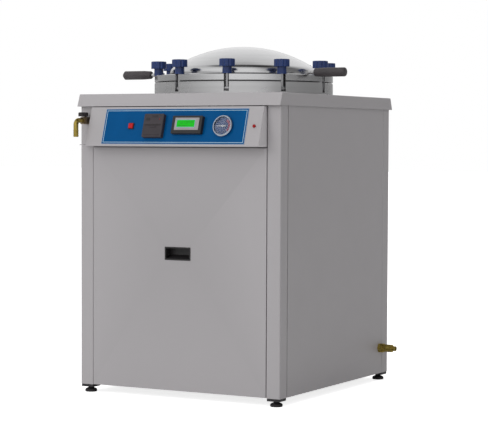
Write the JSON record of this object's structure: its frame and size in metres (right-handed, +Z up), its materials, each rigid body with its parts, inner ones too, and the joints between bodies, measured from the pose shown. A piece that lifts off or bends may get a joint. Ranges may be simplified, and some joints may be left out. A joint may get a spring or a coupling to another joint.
{
  "type": "top-loading autoclave",
  "caption": "Floor-standing vertical autoclave: round pressure vessel under a domed lid with swing bolts and hand knobs, in a sheet-metal cabinet with a sloping control console.",
  "frame": {"origin": "on the floor, under the centre of the cabinet", "axes": "+X to the user's right, +Y to the back, +Z up; the longest extent is the height"},
  "size_m": [0.81, 0.9234, 1.083],
  "materials": {
    "cabinet_paint": "satin light grey powder coat",
    "galvanised": "galvanised sheet",
    "vessel_steel": "machined stainless",
    "lid_steel": "polished stainless",
    "bolt_steel": "machined",
    "pipe_steel": "drawn stainless tube",
    "basket_wire": "stainless wire",
    "brass": "dull",
    "black_plastic": "moulded",
    "foot_black": "moulded",
    "pull_black": "moulded",
    "dark_grey_plastic": "moulded",
    "grip_grey": "moulded",
    "knob_blue": "moulded phenolic",
    "display_plate": "printed film",
    "lcd": "lit screen",
    "fascia": "printed film",
    "gauge_chrome": "polished",
    "gauge_face": "printed",
    "gauge_glass": "clear",
    "needle_black": "matt",
    "gasket": "silicone",
    "paper": "thermal paper",
    "red_lamp": "clear red",
    "red_button": "clear red",
    "tap_dark": "dark nickel",
    "tap_lever": "moulded",
    "insulation": "glass wool blanket"
  },
  "bodies": {
    "root": {"base_pan": "galvanised", "basket": "basket_wire", "bolt_pins": "bolt_steel", "button_bezel": "black_plastic", "cabinet_frame": "cabinet_paint", "console_shell": "cabinet_paint", "display_case": "dark_grey_plastic", "display_plate": "display_plate", "display_screen": "lcd", "drain_fitting": "brass", "drain_pipe": "pipe_steel", "electrical_box": "galvanised", "fascia": "fascia", "foot_caps": "black_plastic", "gauge_case": "gauge_chrome", "gauge_dial": "gauge_face", "gauge_glass": "gauge_glass", "heater": "pipe_steel", "hose_hook": "cabinet_paint", "left_side_panel": "cabinet_paint", "mains_gland": "black_plastic", "paper_roll": "paper", "pilot_lamp": "red_lamp", "pressure_vessel": "vessel_steel", "printer_case": "dark_grey_plastic", "purge_pipe": "pipe_steel", "rear_panel": "cabinet_paint", "right_side_panel": "cabinet_paint", "safety_valve": "brass", "support_grid": "vessel_steel", "swing_bolts": "bolt_steel", "tap_body": "tap_dark", "tap_spout": "brass", "top_cover": "cabinet_paint", "vessel_insulation": "insulation"},
    "lid": {"lid": "lid_steel", "lid_gasket": "gasket", "grip_rods": "lid_steel", "grip_left": "grip_grey", "grip_right": "grip_grey"},
    "front_panel": {"front_panel": "cabinet_paint", "panel_pull": "pull_black"},
    "printer_cover": {"printer_cover": "dark_grey_plastic"},
    "power_button": {"power_button": "red_button"},
    "gauge_needle": {"gauge_needle": "needle_black"},
    "tap_lever": {"tap_lever": "tap_lever"},
    "knob_1": {"knob_1": "knob_blue"},
    "knob_2": {"knob_2": "knob_blue"},
    "knob_3": {"knob_3": "knob_blue"},
    "knob_4": {"knob_4": "knob_blue"},
    "knob_5": {"knob_5": "knob_blue"},
    "knob_6": {"knob_6": "knob_blue"},
    "knob_7": {"knob_7": "knob_blue"},
    "knob_8": {"knob_8": "knob_blue"},
    "knob_9": {"knob_9": "knob_blue"},
    "knob_10": {"knob_10": "knob_blue"},
    "foot_front_left": {"foot_front_left": "foot_black"},
    "foot_front_right": {"foot_front_right": "foot_black"},
    "foot_rear_left": {"foot_rear_left": "foot_black"},
    "foot_rear_right": {"foot_rear_right": "foot_black"}
  },
  "joints": [
    {"name": "lid_lift", "type": "slide", "parent": "root", "child": "lid", "axis": [0, 0, 1], "range_m": [0, 0.35]},
    {"name": "front_panel_slide", "type": "slide", "parent": "root", "child": "front_panel", "axis": [0, -1, 0], "range_m": [0, 0.25]},
    {"name": "printer_cover_hinge", "type": "hinge", "parent": "root", "child": "printer_cover", "pos_m": [-0.061, -0.43455, 0.80067], "axis": [1, 0, 0], "range_deg": [0, 85]},
    {"name": "power_button_press", "type": "slide", "parent": "root", "child": "power_button", "axis": [0, 0.9563, -0.2924], "range_m": [0, 0.003], "stiffness_N_per_m": 400},
    {"name": "gauge_needle_turn", "type": "hinge", "parent": "root", "child": "gauge_needle", "pos_m": [0.1756, -0.41998, 0.82644], "axis": [0, -0.9563, 0.2924], "range_deg": [-225, 45]},
    {"name": "tap_lever_turn", "type": "hinge", "parent": "root", "child": "tap_lever", "pos_m": [-0.32, -0.403, 0.86], "axis": [0, 0, 1], "range_deg": [-90, 0]},
    {"name": "knob_1_spin", "type": "hinge", "parent": "lid", "child": "knob_1", "pos_m": [0.2727, 0.027, 1], "axis": [0, 0, 1], "continuous": true},
    {"name": "knob_2_spin", "type": "hinge", "parent": "lid", "child": "knob_2", "pos_m": [0.22062, 0.18729, 1], "axis": [0, 0, 1], "continuous": true},
    {"name": "knob_3_spin", "type": "hinge", "parent": "lid", "child": "knob_3", "pos_m": [0.08427, 0.28635, 1], "axis": [0, 0, 1], "continuous": true},
    {"name": "knob_4_spin", "type": "hinge", "parent": "lid", "child": "knob_4", "pos_m": [-0.08427, 0.28635, 1], "axis": [0, 0, 1], "continuous": true},
    {"name": "knob_5_spin", "type": "hinge", "parent": "lid", "child": "knob_5", "pos_m": [-0.22062, 0.18729, 1], "axis": [0, 0, 1], "continuous": true},
    {"name": "knob_6_spin", "type": "hinge", "parent": "lid", "child": "knob_6", "pos_m": [-0.2727, 0.027, 1], "axis": [0, 0, 1], "continuous": true},
    {"name": "knob_7_spin", "type": "hinge", "parent": "lid", "child": "knob_7", "pos_m": [-0.22062, -0.13329, 1], "axis": [0, 0, 1], "continuous": true},
    {"name": "knob_8_spin", "type": "hinge", "parent": "lid", "child": "knob_8", "pos_m": [-0.08427, -0.23235, 1], "axis": [0, 0, 1], "continuous": true},
    {"name": "knob_9_spin", "type": "hinge", "parent": "lid", "child": "knob_9", "pos_m": [0.08427, -0.23235, 1], "axis": [0, 0, 1], "continuous": true},
    {"name": "knob_10_spin", "type": "hinge", "parent": "lid", "child": "knob_10", "pos_m": [0.22062, -0.13329, 1], "axis": [0, 0, 1], "continuous": true},
    {"name": "foot_front_left_spin", "type": "hinge", "parent": "root", "child": "foot_front_left", "pos_m": [-0.327, -0.36, 0.01], "axis": [0, 0, 1], "continuous": true},
    {"name": "foot_front_right_spin", "type": "hinge", "parent": "root", "child": "foot_front_right", "pos_m": [0.327, -0.36, 0.01], "axis": [0, 0, 1], "continuous": true},
    {"name": "foot_rear_left_spin", "type": "hinge", "parent": "root", "child": "foot_rear_left", "pos_m": [-0.327, 0.36, 0.01], "axis": [0, 0, 1], "continuous": true},
    {"name": "foot_rear_right_spin", "type": "hinge", "parent": "root", "child": "foot_rear_right", "pos_m": [0.327, 0.36, 0.01], "axis": [0, 0, 1], "continuous": true}
  ]
}
